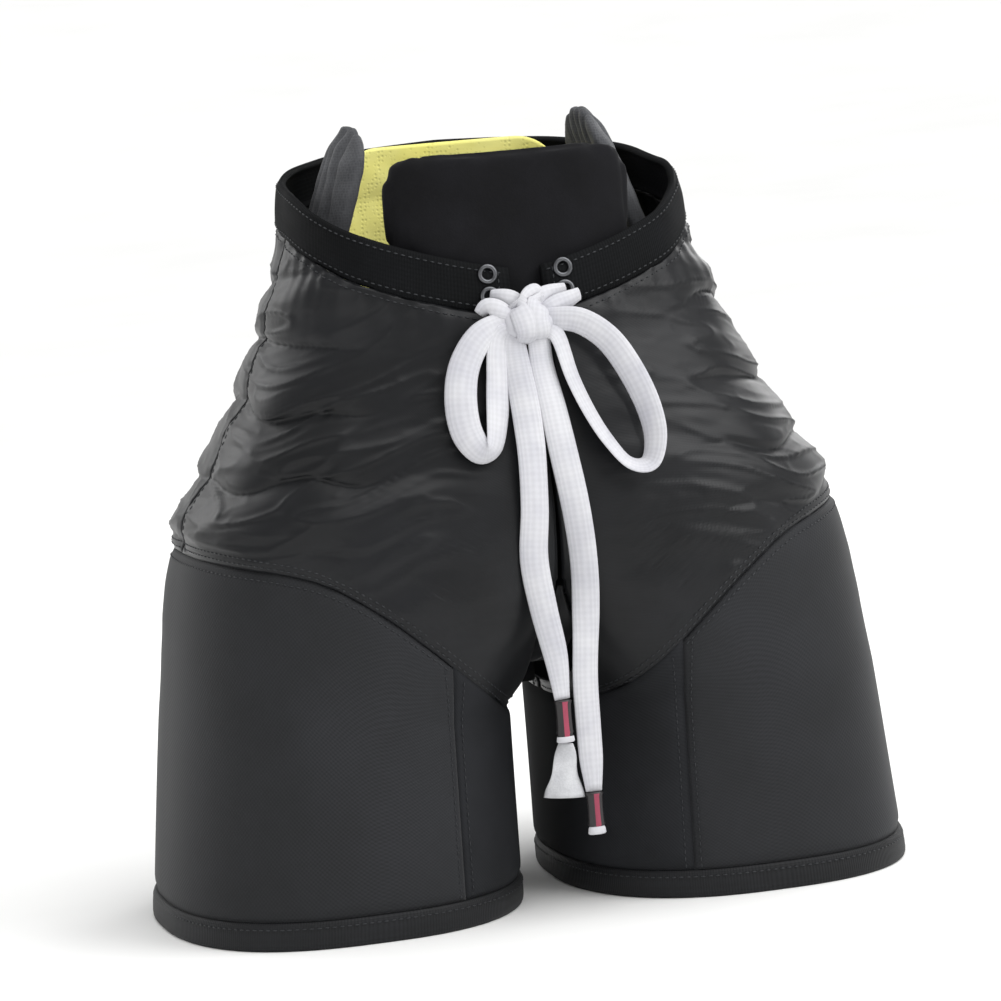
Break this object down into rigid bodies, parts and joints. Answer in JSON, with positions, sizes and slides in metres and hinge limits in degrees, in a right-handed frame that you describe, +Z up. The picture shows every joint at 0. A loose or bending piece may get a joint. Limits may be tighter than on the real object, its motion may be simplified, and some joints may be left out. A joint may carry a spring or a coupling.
{
  "type": "ice hockey pants",
  "caption": "Padded ice hockey pants in black nylon with stiff thigh panels, a raised laced waist, a belly pad, folding hip pads and a white tied lace.",
  "frame": {"origin": "centre of the footprint, on the surface the two leg hems stand on", "axes": "+Z up from the hems to the waist, front of the pants towards -Y, the wearer's left leg towards +X"},
  "size_m": [0.442, 0.2554, 0.4477],
  "materials": {
    "shell_nylon": "woven nylon with a soft satin sheen",
    "thigh_nylon": "smooth matte nylon over a stiff guard",
    "binding": "folded woven binding",
    "pad_cover": "brushed knit over foam",
    "wing_cover": "ribbed nylon over foam",
    "lining_cloth": "bright plain lining cloth",
    "mesh_lining": "open knit lining",
    "foam": "closed-cell foam",
    "guard_plastic": "moulded polyethylene",
    "nickel": "nickel-plated eyelet",
    "lace_cotton": "flat white woven lace",
    "aglet_plastic": "glossy sleeve at the end of the lace"
  },
  "bodies": {
    "waist": {"front_panel_left": "shell_nylon", "front_panel_right": "shell_nylon", "seat_panel_left": "shell_nylon", "seat_panel_right": "shell_nylon", "crotch_gusset": "shell_nylon", "waistband_left": "binding", "waistband_right": "binding", "eyelet_upper_left": "nickel", "eyelet_upper_right": "nickel", "eyelet_lower_left": "nickel", "eyelet_lower_right": "nickel", "fly_facing_left": "binding", "fly_facing_right": "binding", "back_pad": "pad_cover", "back_lining": "lining_cloth", "kidney_guard_left": "guard_plastic", "kidney_guard_right": "guard_plastic", "tailbone_guard": "guard_plastic", "tailbone_pad": "pad_cover", "lace_knot": "lace_cotton", "lace_loop_left": "lace_cotton", "lace_loop_right": "lace_cotton", "lace_tail_left": "lace_cotton", "lace_tail_right": "lace_cotton", "aglet_left": "aglet_plastic", "aglet_right": "aglet_plastic"},
    "left_leg": {"thigh_panel_left": "thigh_nylon", "back_leg_panel_left": "thigh_nylon", "inner_leg_panel_left": "shell_nylon", "hem_band_left": "binding", "thigh_guard_left": "guard_plastic", "thigh_foam_left": "foam", "thigh_lining_left": "mesh_lining"},
    "right_leg": {"thigh_panel_right": "thigh_nylon", "back_leg_panel_right": "thigh_nylon", "inner_leg_panel_right": "shell_nylon", "hem_band_right": "binding", "thigh_guard_right": "guard_plastic", "thigh_foam_right": "foam", "thigh_lining_right": "mesh_lining"},
    "belly_pad": {"front_pad": "pad_cover"},
    "left_hip_pad": {"hip_pad_left": "wing_cover", "hip_guard_left": "guard_plastic"},
    "right_hip_pad": {"hip_pad_right": "wing_cover", "hip_guard_right": "guard_plastic"}
  },
  "joints": [
    {"name": "left_hip", "type": "hinge", "parent": "waist", "child": "left_leg", "pos_m": [0.1, 0, 0.216], "axis": [-1, 0, 0], "range_deg": [-10, 35], "stiffness_Nm_per_rad": 2.5, "deforming": ["front_panel_left", "seat_panel_left", "crotch_gusset"]},
    {"name": "right_hip", "type": "hinge", "parent": "waist", "child": "right_leg", "pos_m": [-0.1, 0, 0.216], "axis": [-1, 0, 0], "range_deg": [-10, 35], "stiffness_Nm_per_rad": 2.5, "deforming": ["front_panel_right", "seat_panel_right", "crotch_gusset"]},
    {"name": "belly_pad_fold", "type": "hinge", "parent": "waist", "child": "belly_pad", "pos_m": [0, -0.094, 0.306], "axis": [-1, 0, 0], "range_deg": [0, 12], "stiffness_Nm_per_rad": 0.8},
    {"name": "left_hip_pad_fold", "type": "hinge", "parent": "waist", "child": "left_hip_pad", "pos_m": [0.11, 0.014, 0.35], "axis": [0, -1, 0], "range_deg": [-6, 8], "stiffness_Nm_per_rad": 0.6},
    {"name": "right_hip_pad_fold", "type": "hinge", "parent": "waist", "child": "right_hip_pad", "pos_m": [-0.11, 0.014, 0.35], "axis": [0, 1, 0], "range_deg": [-6, 8], "stiffness_Nm_per_rad": 0.6}
  ]
}
